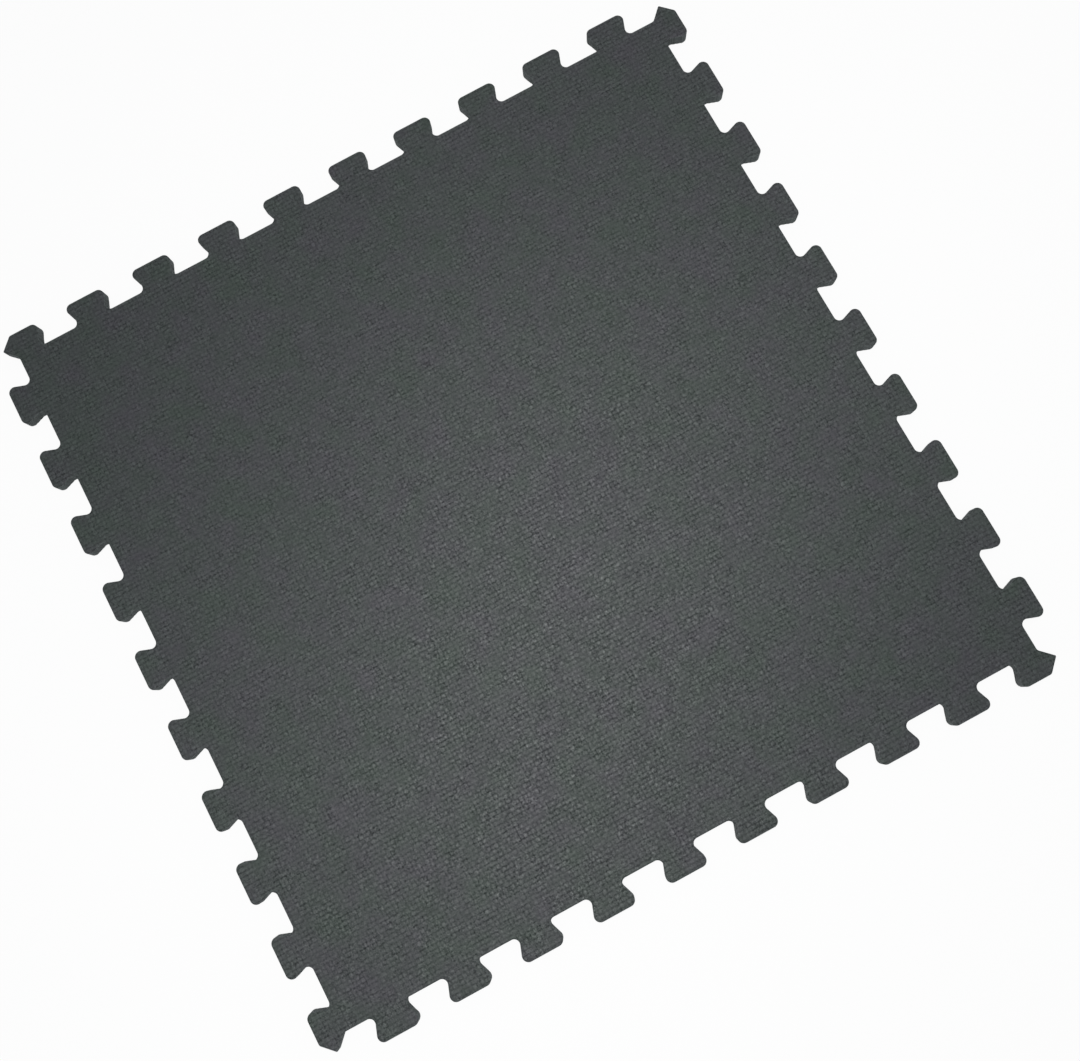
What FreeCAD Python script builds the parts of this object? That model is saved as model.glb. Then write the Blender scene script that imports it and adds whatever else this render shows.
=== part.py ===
"""One interlocking foam floor mat, embossed like tatami: a flat square sheet of
closed-cell foam whose jigsaw edge locks with a copy of itself on all four sides."""
import FreeCAD, Part
import math
import os

# Driving dimensions in millimetres, and one angle in degrees
MAT_SPACING = 600.0     # side of the square that a mat covers once it is joined to others
THICKNESS = 10.0
TAB_PITCH = 59.6        # from one tab to the next along a side
JOINT_DEPTH = 20.0      # from the bottom of a slot to the tip of a tab
FLARE_ANGLE = 20.0      # how far a tab's flanks lean out from square
TIP_RADIUS = 4.9        # outer corners of a tab
ROOT_RADIUS = 4.4       # inner corners of a slot
SHOULDER_RADIUS = 3.0   # the two blunt bends on either side of a corner's point
POINT_RADIUS = 1.0      # the point of a corner
RIM_BEVEL = 0.5         # edge that the cutting die pressed soft, along the top only

SIDES = 4
# Half of the joint lies inside the covered square and half outside it
HALF_MAT = MAT_SPACING / 2
HALF_DEPTH = JOINT_DEPTH / 2
ROOT_LINE = HALF_DEPTH - HALF_MAT
TIP_LINE = -HALF_DEPTH - HALF_MAT
# A flank crosses the middle of the joint, and leans this far to either side of it
FLANK_RUN = HALF_DEPTH * math.tan(math.radians(FLARE_ANGLE))
# The last tab of a side is the corner's own, which is wider than the others
WHOLE_TABS = int(MAT_SPACING / TAB_PITCH) - 1


def front_side():
    """Corners of the front side from left to right, each with the radius that rounds it.

    A tab and a slot share the pitch equally. The row is laid out so that half a turn
    about the middle of the side puts every tab over a slot, which is how a second mat
    fits this one. The corner's point lies where four joined mats meet.
    """
    row_start = -WHOLE_TABS * TAB_PITCH / 2
    corners = [(ROOT_LINE, ROOT_LINE, SHOULDER_RADIUS)]
    for tab in range(WHOLE_TABS):
        left = row_start + tab * TAB_PITCH
        right = left + TAB_PITCH / 2
        corners.append((left + FLANK_RUN, ROOT_LINE, ROOT_RADIUS))
        corners.append((left - FLANK_RUN, TIP_LINE, TIP_RADIUS))
        corners.append((right + FLANK_RUN, TIP_LINE, TIP_RADIUS))
        corners.append((right - FLANK_RUN, ROOT_LINE, ROOT_RADIUS))
    corner_tab = row_start + WHOLE_TABS * TAB_PITCH
    corners.append((corner_tab + FLANK_RUN, ROOT_LINE, ROOT_RADIUS))
    corners.append((corner_tab - FLANK_RUN, TIP_LINE, TIP_RADIUS))
    corners.append((-ROOT_LINE, TIP_LINE, SHOULDER_RADIUS))
    corners.append((HALF_MAT, -HALF_MAT, POINT_RADIUS))
    return corners


def all_sides():
    """The front side repeated by quarter turns about the middle of the mat."""
    corners = []
    for side in range(SIDES):
        turn = FreeCAD.Rotation(FreeCAD.Vector(0, 0, 1), 360 / SIDES * side)
        for x, y, radius in front_side():
            corners.append((turn.multVec(FreeCAD.Vector(x, y, 0)), radius))
    return corners


def rounded_outline(corners):
    """A closed wire of straight edges and arcs, where each arc rounds one corner."""
    arcs = []
    for index, (corner, radius) in enumerate(corners):
        back = (corners[index - 1][0] - corner).normalize()
        ahead = (corners[(index + 1) % len(corners)][0] - corner).normalize()
        half_angle = back.getAngle(ahead) / 2
        reach = radius / math.tan(half_angle)
        inward = (back + ahead).normalize()
        crown = corner + inward * (radius / math.sin(half_angle) - radius)
        arcs.append(Part.Arc(corner + back * reach, crown, corner + ahead * reach).toShape())
    edges = []
    for index, arc in enumerate(arcs):
        before = arcs[index - 1].lastVertex().Point
        edges.append(Part.makeLine(before, arc.firstVertex().Point))
        edges.append(arc)
    return Part.Wire(edges)


def mat():
    """The cut-out sheet, with the bevel along the rim of its top."""
    sheet = Part.Face(rounded_outline(all_sides())).extrude(FreeCAD.Vector(0, 0, THICKNESS))
    rim = [edge for edge in sheet.Edges if edge.BoundBox.ZMin > THICKNESS - RIM_BEVEL]
    return sheet.makeChamfer(RIM_BEVEL, rim)


os.makedirs("parts", exist_ok=True)
mat().exportStep("parts/mat.step")
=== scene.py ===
"""A dark grey interlocking floor mat of closed-cell foam, embossed like tatami on top and
ribbed underneath, laid flat on a pale studio floor and seen from above. Metres."""
import math

import bmesh
import bpy
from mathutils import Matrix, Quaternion, Vector, noise


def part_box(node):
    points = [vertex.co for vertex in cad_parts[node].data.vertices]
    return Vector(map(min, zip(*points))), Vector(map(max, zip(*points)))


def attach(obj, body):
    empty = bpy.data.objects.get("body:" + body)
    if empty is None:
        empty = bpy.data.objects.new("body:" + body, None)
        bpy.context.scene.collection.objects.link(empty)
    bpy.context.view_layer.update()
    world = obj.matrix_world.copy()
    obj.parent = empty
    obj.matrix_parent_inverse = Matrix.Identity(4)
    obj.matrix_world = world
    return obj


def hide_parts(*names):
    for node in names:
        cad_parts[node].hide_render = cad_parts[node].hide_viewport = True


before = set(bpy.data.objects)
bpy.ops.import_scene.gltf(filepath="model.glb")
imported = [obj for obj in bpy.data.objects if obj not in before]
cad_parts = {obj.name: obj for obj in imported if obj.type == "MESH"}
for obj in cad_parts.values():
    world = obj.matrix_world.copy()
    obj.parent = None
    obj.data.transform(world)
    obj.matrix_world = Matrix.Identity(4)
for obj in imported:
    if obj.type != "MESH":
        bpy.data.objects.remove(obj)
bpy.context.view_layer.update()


# The embossing plate: the top of the sheet is hot-pressed against a plate engraved as a
# plain weave. Rows of strands run along the front, and each crossing leaves a low pillow.
MM = 0.001
ROW_PITCH = 3.5 * MM         # from one row of strands to the next, front to back
COLUMN_PITCH = 3.2 * MM      # from one crossing to the next along a row
PIT_DEPTH = 0.45 * MM        # from the highest crowns to the pits at a crossing's corners
UNDER_DROP = 0.10 * MM       # every other crossing passes under and lies this much lower
CROWN_WANDER = 0.06 * MM     # foam springs back unevenly behind the plate
WANDER_SPACING = 12 * MM     # size of the patches in which it does so
SKIN_GAP = 0.01 * MM         # keeps the pressed faces off the solid's own flat ones
SKIN_SLOT = 1                # the mat's material slots: 0 is the cut wall, 1 the top
UNDERSIDE_SLOT = 2           # and 2 the underside

low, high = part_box("mat")
through = 2 * (high.z - low.z)       # a plate's slab reaches right through the sheet


def slab(columns, rows, pitch_x, pitch_y, z, rise):
    """A closed slab centred on the origin, and the faces of its divided side, which lies
    at z. The plain side opposite lies at z + rise."""
    mesh = bmesh.new()
    bmesh.ops.create_grid(mesh, x_segments=columns, y_segments=rows, size=0.5)
    bmesh.ops.scale(mesh, verts=mesh.verts, vec=(columns * pitch_x, rows * pitch_y, 1))
    bmesh.ops.translate(mesh, verts=mesh.verts, vec=(0, 0, z))
    divided = mesh.faces[:]
    grown = bmesh.ops.extrude_face_region(mesh, geom=divided)
    far_verts = [part for part in grown["geom"] if isinstance(part, bmesh.types.BMVert)]
    bmesh.ops.translate(mesh, verts=far_verts, vec=(0, 0, rise))
    bmesh.ops.recalc_face_normals(mesh, faces=mesh.faces)
    return mesh, divided


def new_object(name, mesh):
    """An object in the scene that has this bmesh as its mesh."""
    data = bpy.data.meshes.new(name)
    mesh.to_mesh(data)
    mesh.free()
    made = bpy.data.objects.new(name, data)
    bpy.context.scene.collection.objects.link(made)
    return made


columns = 2 * math.ceil(high.x / COLUMN_PITCH + 1)
rows = 2 * math.ceil(high.y / ROW_PITCH + 1)
weave, woven = slab(columns, rows, COLUMN_PITCH, ROW_PITCH, high.z - SKIN_GAP, -through)
for corner in {vert for face in woven for vert in face.verts}:
    corner.co.z -= PIT_DEPTH
woven_edges = dict.fromkeys(edge for face in woven for edge in face.edges)
between_columns = [edge for edge in woven_edges
                   if abs(edge.verts[0].co.x - edge.verts[1].co.x) < COLUMN_PITCH / 2
                   and abs(edge.verts[0].co.x) < (columns - 1) * COLUMN_PITCH / 2]
pillows = bmesh.ops.poke(weave, faces=woven, center_mode="MEAN")
for crown in pillows["verts"]:
    column = math.floor(crown.co.x / COLUMN_PITCH)
    row = math.floor(crown.co.y / ROW_PITCH)
    crown.co.z += PIT_DEPTH - UNDER_DROP * ((column + row) % 2)
    crown.co.z -= CROWN_WANDER * (0.5 + 0.5 * noise.noise(crown.co / WANDER_SPACING))
bmesh.ops.rotate_edges(weave, edges=between_columns)     # so that each row is one long ridge
for face in weave.faces:
    face.material_index = SKIN_SLOT
embossing_plate = new_object("embossing_plate", weave)


# The ribbed bed plate: the underside comes off it with fine straight parallel ribs, which
# run front to back and let the mat grip the floor.
RIB_PITCH = 3.4 * MM
RIB_DEPTH = 0.3 * MM
PARTS_PER_RIB = 3            # flank, crest and flank
part_width = RIB_PITCH / PARTS_PER_RIB
bed_length = 3 * high.y      # half as long again as the mat

parts = PARTS_PER_RIB * 2 * math.ceil(high.x / RIB_PITCH + 1)
bed, ribbed = slab(parts, 1, part_width, bed_length, low.z + SKIN_GAP, through)
for vert in {vert for face in ribbed for vert in face.verts}:
    if round(vert.co.x / part_width) % PARTS_PER_RIB == 0:
        vert.co.z += RIB_DEPTH
for face in bed.faces:
    face.material_index = UNDERSIDE_SLOT
bed_plate = new_object("bed_plate", bed)


# The mat: one sheet of closed-cell EVA foam, stamped out of the pressed block by a steel
# rule die, which leaves upright cut walls and a jigsaw edge that locks with other mats.
MERGE_DISTANCE = 0.001 * MM
CREASE_ANGLE = math.radians(30)      # edges sharper than this are the die's

sheet = bmesh.new()
sheet.from_mesh(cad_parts["mat"].data)
bmesh.ops.remove_doubles(sheet, verts=sheet.verts, dist=MERGE_DISTANCE)
blank = new_object("stamped_blank", sheet)


def linear(code):
    """A colour written as sRGB hex, as the linear values that a shader takes."""
    parts = [int(code[at:at + 2], 16) / 255 for at in (0, 2, 4)]
    return [p / 12.92 if p <= 0.04045 else ((p + 0.055) / 1.055) ** 2.4 for p in parts] + [1.0]


def add_node(tree, kind, feeds=None, **settings):
    """One node of a material. feeds gives an input, by its name or number, its value or
    the node or output that it comes from."""
    made = tree.nodes.new("ShaderNode" + kind)
    for name, value in settings.items():
        setattr(made, name, value)
    for name, value in (feeds or {}).items():
        if isinstance(value, bpy.types.Node):
            value = value.outputs[0]
        if isinstance(value, bpy.types.NodeSocket):
            tree.links.new(value, made.inputs[name])
        else:
            made.inputs[name].default_value = value
    return made


def new_material(name, settings):
    """A material with its Principled shader set to these values, its node tree and that shader."""
    material = bpy.data.materials.new(name)
    material.use_nodes = True
    shader = material.node_tree.nodes["Principled BSDF"]
    for socket, value in settings.items():
        shader.inputs[socket].default_value = value
    return material, material.node_tree, shader


# Moulded skin of EVA foam: matte, with a dull gloss on the crowns that the plate pressed smooth.
# Its colour holds painted shade in the creases and on under crossings, and painted highlight on the strands'
# middles; no two crossings quite the same grey.
# The skin's own grey lies between these two: the crown colour is it lightened as painted highlight, the
# crease colour it darkened as painted shade.
CROWN_COLOUR = linear("4C5150")
CREASE_SHADE_COLOUR = linear("282B2B")
MEAN_CREASE = 0.5            # share of the painted crease shade colour that the skin has on average
STRAND_MIDDLE = -0.13        # what is added to it along the middle of a row of strands, lightening it as painted highlight
ROW_CREASE = 0.25            # in the crease between two rows, darkening it as painted shade
CROSSING_MIDDLE = -0.07      # at the middle of a crossing, as painted highlight
COLUMN_CREASE = 0.14         # in the crease between two crossings of a row, as painted shade
UNDER_SHADE = 0.07           # painted shade added where a crossing passes under, and taken off where it's over
CHANCE_SHADE = 0.09          # by chance, at most, more or less on each crossing
SPECK_SHADE = 0.4            # and on a speck, more or less
CREASE_START = 0.15          # where a crease begins, in pitches from a strand's middle
SPECK_SIZE = 1.3 * MM        # the foam's own cells are finer; drawn this coarse to show
FADE_SIZE = 12 * MM          # patches in which the weave is pressed more or less crisply
FAINT = 0.3                  # how strongly the weave and specks show in the faintest ones
CRISP = 0.77                 # and in the crispest
GREEN_CAST = (0.85, 1.02, 0.88, 1.0)     # the foam's grey clouds from one of these tints
VIOLET_CAST = (1.07, 0.94, 1.10, 1.0)    # to the other
CLOUD_SIZE = 26 * MM
CREASE_DEPTH = 0.2 * MM
CROWN_ROUGHNESS = 0.38
CREASE_ROUGHNESS = 0.75
CROWN_GLOSS = 0.8            # specular level
CREASE_GLOSS = 0.3
NOISE_LOW = 0.3              # a noise texture seldom goes below this
NOISE_HIGH = 0.7             # or above this

skin, tree, shader = new_material("eva_foam_embossed_skin", {"IOR": 1.45})
place = add_node(tree, "TexCoord").outputs["Object"]
pitches = (1 / COLUMN_PITCH, 1 / ROW_PITCH, 1.0)
crossing = add_node(tree, "VectorMath", {0: place, 1: pitches}, operation="MULTIPLY")
within = add_node(tree, "VectorMath", {0: crossing}, operation="FRACTION")
off_centre = add_node(tree, "VectorMath", {0: within, 1: (0.5, 0.5, 0.5)}, operation="SUBTRACT")
to_sides = add_node(tree, "VectorMath", {0: off_centre}, operation="ABSOLUTE")
to_side = add_node(tree, "SeparateXYZ", {"Vector": to_sides})
row_share = add_node(tree, "MapRange", {
    "Value": to_side.outputs["Y"], "From Min": CREASE_START, "From Max": 0.5,
    "To Min": STRAND_MIDDLE, "To Max": ROW_CREASE}, interpolation_type="SMOOTHSTEP")
column_share = add_node(tree, "MapRange", {
    "Value": to_side.outputs["X"], "From Min": CREASE_START, "From Max": 0.5,
    "To Min": CROSSING_MIDDLE, "To Max": COLUMN_CREASE}, interpolation_type="SMOOTHSTEP")
number = add_node(tree, "VectorMath", {0: crossing}, operation="FLOOR")
chance = add_node(tree, "TexWhiteNoise", {"Vector": number}, noise_dimensions="2D")
chance_share = add_node(tree, "MapRange", {"Value": chance, "To Min": -CHANCE_SHADE, "To Max": CHANCE_SHADE})
under = add_node(tree, "TexChecker", {"Vector": crossing, "Scale": 1.0}).outputs["Fac"]
under_share = add_node(tree, "MapRange", {"Value": under, "To Min": -UNDER_SHADE, "To Max": UNDER_SHADE})
speck = add_node(tree, "TexNoise", {"Vector": place, "Scale": 1 / SPECK_SIZE, "Detail": 1.0})
speck_share = add_node(tree, "MapRange", {
    "Value": speck, "From Min": NOISE_LOW, "From Max": NOISE_HIGH,
    "To Min": -SPECK_SHADE, "To Max": SPECK_SHADE}, clamp=False)
# Summed: painted highlight on the strands, painted shade in the creases and on under crossings, and the
# chance greys and specks.
depth = row_share
for share in (column_share, chance_share, under_share, speck_share):
    depth = add_node(tree, "Math", {0: depth, 1: share}, operation="ADD")
fade = add_node(tree, "TexNoise", {"Vector": place, "Scale": 1 / FADE_SIZE, "Detail": 2.0})
crispness = add_node(tree, "MapRange", {
    "Value": fade, "From Min": NOISE_LOW, "From Max": NOISE_HIGH, "To Min": FAINT, "To Max": CRISP})
# How far each point goes from the crowns' painted highlight to the creases' painted shade, with the chance
# greys and specks.
dark = add_node(tree, "Math", {0: depth, 1: crispness, 2: MEAN_CREASE},
                operation="MULTIPLY_ADD", use_clamp=True)
tone_with_painted_shade = add_node(tree, "MixRGB", {"Fac": dark, "Color1": CROWN_COLOUR, "Color2": CREASE_SHADE_COLOUR})
cloud = add_node(tree, "TexNoise", {"Vector": place, "Scale": 1 / CLOUD_SIZE, "Detail": 5.0})
cast_share = add_node(tree, "MapRange", {"Value": cloud, "From Min": NOISE_LOW, "From Max": NOISE_HIGH})
cast = add_node(tree, "MixRGB", {"Fac": cast_share, "Color1": GREEN_CAST, "Color2": VIOLET_CAST})
tinted = add_node(tree, "MixRGB", {"Fac": 1.0, "Color1": tone_with_painted_shade, "Color2": cast}, blend_type="MULTIPLY")
tree.links.new(tinted.outputs[0], shader.inputs["Base Color"])
dullness = add_node(tree, "MapRange", {"Value": dark, "To Min": CROWN_ROUGHNESS, "To Max": CREASE_ROUGHNESS})
tree.links.new(dullness.outputs[0], shader.inputs["Roughness"])
gloss = add_node(tree, "MapRange", {"Value": dark, "To Min": CROWN_GLOSS, "To Max": CREASE_GLOSS})
tree.links.new(gloss.outputs[0], shader.inputs["Specular IOR Level"])
crease = add_node(tree, "Bump", {"Height": dark, "Distance": CREASE_DEPTH}, invert=True)
tree.links.new(crease.outputs[0], shader.inputs["Normal"])

# Ribbed skin of EVA foam: the underside keeps the bed plate's plain matte finish, with a
# fine grain, and painted shade darkening the grooves between the ribs.
RIB_COLOUR = linear("474C4C")
GROOVE_SHADE_COLOUR = linear("2B2E2E")
GROOVE_SHADE = 0.6           # share of the painted groove shade colour at the bottom of a groove
GRAIN_SHADE = 0.4            # and what the grain adds, at most
GRAIN_SIZE = 0.8 * MM        # real grain is about 0.2 mm; drawn this coarse so that it shows
GRAIN_DEPTH = 0.05 * MM
RIB_ROUGHNESS = 0.55
GROOVE_ROUGHNESS = 0.8

underside, tree, shader = new_material("eva_foam_ribbed_skin", {"IOR": 1.45, "Specular IOR Level": 0.4})
place = add_node(tree, "TexCoord").outputs["Object"]
across = add_node(tree, "SeparateXYZ", {"Vector": place})
from_groove = add_node(tree, "Math", {0: across.outputs["X"], 1: RIB_PITCH / 2}, operation="PINGPONG")
groove_share = add_node(tree, "MapRange", {
    "Value": from_groove, "From Max": part_width, "To Min": GROOVE_SHADE, "To Max": 0.0})
grain = add_node(tree, "TexNoise", {"Vector": place, "Scale": 1 / GRAIN_SIZE, "Detail": 2.0})
grain_share = add_node(tree, "MapRange", {
    "Value": grain, "From Min": NOISE_LOW, "From Max": NOISE_HIGH, "To Max": GRAIN_SHADE})
# Painted shade in the grooves, plus the grain's own tone.
dark = add_node(tree, "Math", {0: groove_share, 1: grain_share}, operation="ADD")
tone_with_painted_shade = add_node(tree, "MixRGB", {"Fac": dark, "Color1": RIB_COLOUR, "Color2": GROOVE_SHADE_COLOUR})
tree.links.new(tone_with_painted_shade.outputs[0], shader.inputs["Base Color"])
dullness = add_node(tree, "MapRange", {"Value": dark, "To Min": RIB_ROUGHNESS, "To Max": GROOVE_ROUGHNESS})
tree.links.new(dullness.outputs[0], shader.inputs["Roughness"])
pore = add_node(tree, "Bump", {"Height": grain, "Distance": GRAIN_DEPTH})
tree.links.new(pore.outputs[0], shader.inputs["Normal"])

# Cut wall of EVA foam: the die opens the closed cells, so the edge is dull and finely
# pitted, with painted shade in each open cell's middle and faint upright lines where the blade dragged.
WALL_COLOUR = linear("6B7170")
PIT_SHADE_COLOUR = linear("3C4040")
CELL_SHADE = 0.5             # share of the painted pit shade colour in the middle of a cell
DRAG_SHADE = 0.5             # and what a drag line adds, at most
CELL_SIZE = 0.5 * MM         # real cells are about 0.2 mm; drawn this coarse so that they show
CELL_EDGE = 0.7              # where a cell's pit ends, in cell sizes from its middle
CELL_DEPTH = 0.12 * MM
DRAG_SIZE = 1.2 * MM         # width of the drag lines
DRAG_STRETCH = 0.06          # they run the whole height of the wall
WALL_ROUGHNESS = 0.8
PIT_ROUGHNESS = 0.95

wall, tree, shader = new_material("eva_foam_die_cut_edge", {"IOR": 1.45, "Specular IOR Level": 0.3})
place = add_node(tree, "TexCoord").outputs["Object"]
cell = add_node(tree, "TexVoronoi", {"Vector": place, "Scale": 1 / CELL_SIZE}).outputs["Distance"]
cell_share = add_node(tree, "MapRange", {
    "Value": cell, "From Max": CELL_EDGE, "To Min": CELL_SHADE, "To Max": 0.0})
upright = add_node(tree, "VectorMath", {0: place, 1: (1.0, 1.0, DRAG_STRETCH)}, operation="MULTIPLY")
drag = add_node(tree, "TexNoise", {"Vector": upright, "Scale": 1 / DRAG_SIZE, "Detail": 2.0})
drag_share = add_node(tree, "MapRange", {
    "Value": drag, "From Min": NOISE_LOW, "From Max": NOISE_HIGH, "To Max": DRAG_SHADE})
# Drag lines, plus painted shade in the middle of each open cell.
drag_and_pit_shade = add_node(tree, "Math", {0: drag_share, 1: cell_share}, operation="ADD")
tone_with_painted_shade = add_node(tree, "MixRGB", {"Fac": drag_and_pit_shade, "Color1": WALL_COLOUR, "Color2": PIT_SHADE_COLOUR})
tree.links.new(tone_with_painted_shade.outputs[0], shader.inputs["Base Color"])
dullness = add_node(tree, "MapRange", {"Value": drag_and_pit_shade, "To Min": WALL_ROUGHNESS, "To Max": PIT_ROUGHNESS})
tree.links.new(dullness.outputs[0], shader.inputs["Roughness"])
dent = add_node(tree, "Bump", {"Height": drag_and_pit_shade, "Distance": CELL_DEPTH}, invert=True)
tree.links.new(dent.outputs[0], shader.inputs["Normal"])

for tool in (blank, embossing_plate, bed_plate):
    for material in (wall, skin, underside):
        tool.data.materials.append(material)
for plate in (embossing_plate, bed_plate):
    press = blank.modifiers.new(plate.name, "BOOLEAN")
    press.operation = "INTERSECT"
    press.solver = "MANIFOLD"
    press.object = plate
pressed = blank.evaluated_get(bpy.context.evaluated_depsgraph_get())
mat = bpy.data.objects.new("foam_mat", bpy.data.meshes.new_from_object(pressed))
bpy.context.scene.collection.objects.link(mat)
for tool in (blank, embossing_plate, bed_plate):
    bpy.data.objects.remove(tool)
mat.data.name = "foam_mat"
mat.data.shade_smooth()
mat.data.set_sharp_from_angle(angle=CREASE_ANGLE)

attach(mat, "root")
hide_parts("mat")


# Studio floor: a wide pale board under the mat. The camera sees it lit almost to white,
# and it keeps the mat's faint shadow.
FLOOR_HALF = 6.0
FLOOR_COLOUR = linear("F4F4F4")
FLOOR_GLOW = 0.94            # how white the camera sees it, where 1 is white
WHITE = (1.0, 1.0, 1.0, 1.0)

floor_mesh = bmesh.new()
bmesh.ops.create_grid(floor_mesh, x_segments=1, y_segments=1, size=FLOOR_HALF)
floor = new_object("studio_floor", floor_mesh)
board = bpy.data.materials.new("matt_white_board")
board.use_nodes = True
tree = board.node_tree
tree.nodes.clear()
seen = add_node(tree, "LightPath")
paint = add_node(tree, "BsdfDiffuse", {"Color": FLOOR_COLOUR})
glow = add_node(tree, "Emission", {"Color": WHITE, "Strength": 1.0})
straight = add_node(tree, "Math", {0: seen.outputs["Is Camera Ray"], 1: seen.outputs["Is Glossy Ray"]},
                    operation="MAXIMUM")
whiteness = add_node(tree, "Math", {0: straight, 1: FLOOR_GLOW}, operation="MULTIPLY")
surface = add_node(tree, "MixShader", {0: whiteness, 1: paint, 2: glow})
add_node(tree, "OutputMaterial", {"Surface": surface})
floor.data.materials.append(board)


# Light: an even room, and one long soft lamp with a grid, over the middle of the mat and
# laid from its front left to its back right, so that the other two corners fall away.
ROOM_LEVEL = 0.49
ROOM_COLOUR = linear("F8FBFF")
LAMP_PLACE = Vector((-0.02, -0.08, 1.30))
LAMP_TURN = math.radians(45)
LAMP_LENGTH = 1.0
LAMP_WIDTH = 0.3
LAMP_SPREAD = math.radians(64)
LAMP_COLOUR = (1.0, 0.995, 0.975)
LAMP_POWER = 1.42

world = bpy.data.worlds.new("white_room")
bpy.context.scene.world = world
world.use_nodes = True
tree = world.node_tree
tree.nodes.clear()
seen = add_node(tree, "LightPath").outputs["Is Camera Ray"]
level = add_node(tree, "MapRange", {"Value": seen, "To Min": ROOM_LEVEL, "To Max": 1.0})
hue = add_node(tree, "MixRGB", {"Fac": seen, "Color1": ROOM_COLOUR, "Color2": WHITE})
room = add_node(tree, "Background", {"Color": hue, "Strength": level})
add_node(tree, "OutputWorld", {"Surface": room})

lamp_data = bpy.data.lights.new("soft_lamp", "AREA")
lamp_data.shape = "RECTANGLE"
lamp_data.size = LAMP_LENGTH
lamp_data.size_y = LAMP_WIDTH
lamp_data.spread = LAMP_SPREAD
lamp_data.color = LAMP_COLOUR
lamp_data.energy = LAMP_POWER
lamp = bpy.data.objects.new("soft_lamp", lamp_data)
lamp.location = LAMP_PLACE
lamp.rotation_euler = (0, 0, LAMP_TURN)
lamp.visible_camera = False
bpy.context.scene.collection.objects.link(lamp)


# Camera: looks down on the mat from just in front of its middle, turned so that the mat's
# front side rises to the right.
CAMERA_PLACE = Vector((-0.0132, -0.1653, 0.8726))
CAMERA_AIM = Vector((0.0098, -0.0346, 0.0100))
CAMERA_ROLL = math.radians(-18.558)
LENS = 38.0                  # millimetres

camera_data = bpy.data.cameras.new("camera")
camera_data.lens = LENS
camera = bpy.data.objects.new("camera", camera_data)
camera.location = CAMERA_PLACE
camera.rotation_mode = "QUATERNION"
looking = (CAMERA_AIM - CAMERA_PLACE).to_track_quat("-Z", "Y")
camera.rotation_quaternion = looking @ Quaternion((0, 0, 1), CAMERA_ROLL)
bpy.context.scene.collection.objects.link(camera)
bpy.context.scene.camera = camera
bpy.context.scene.view_settings.view_transform = "Standard"
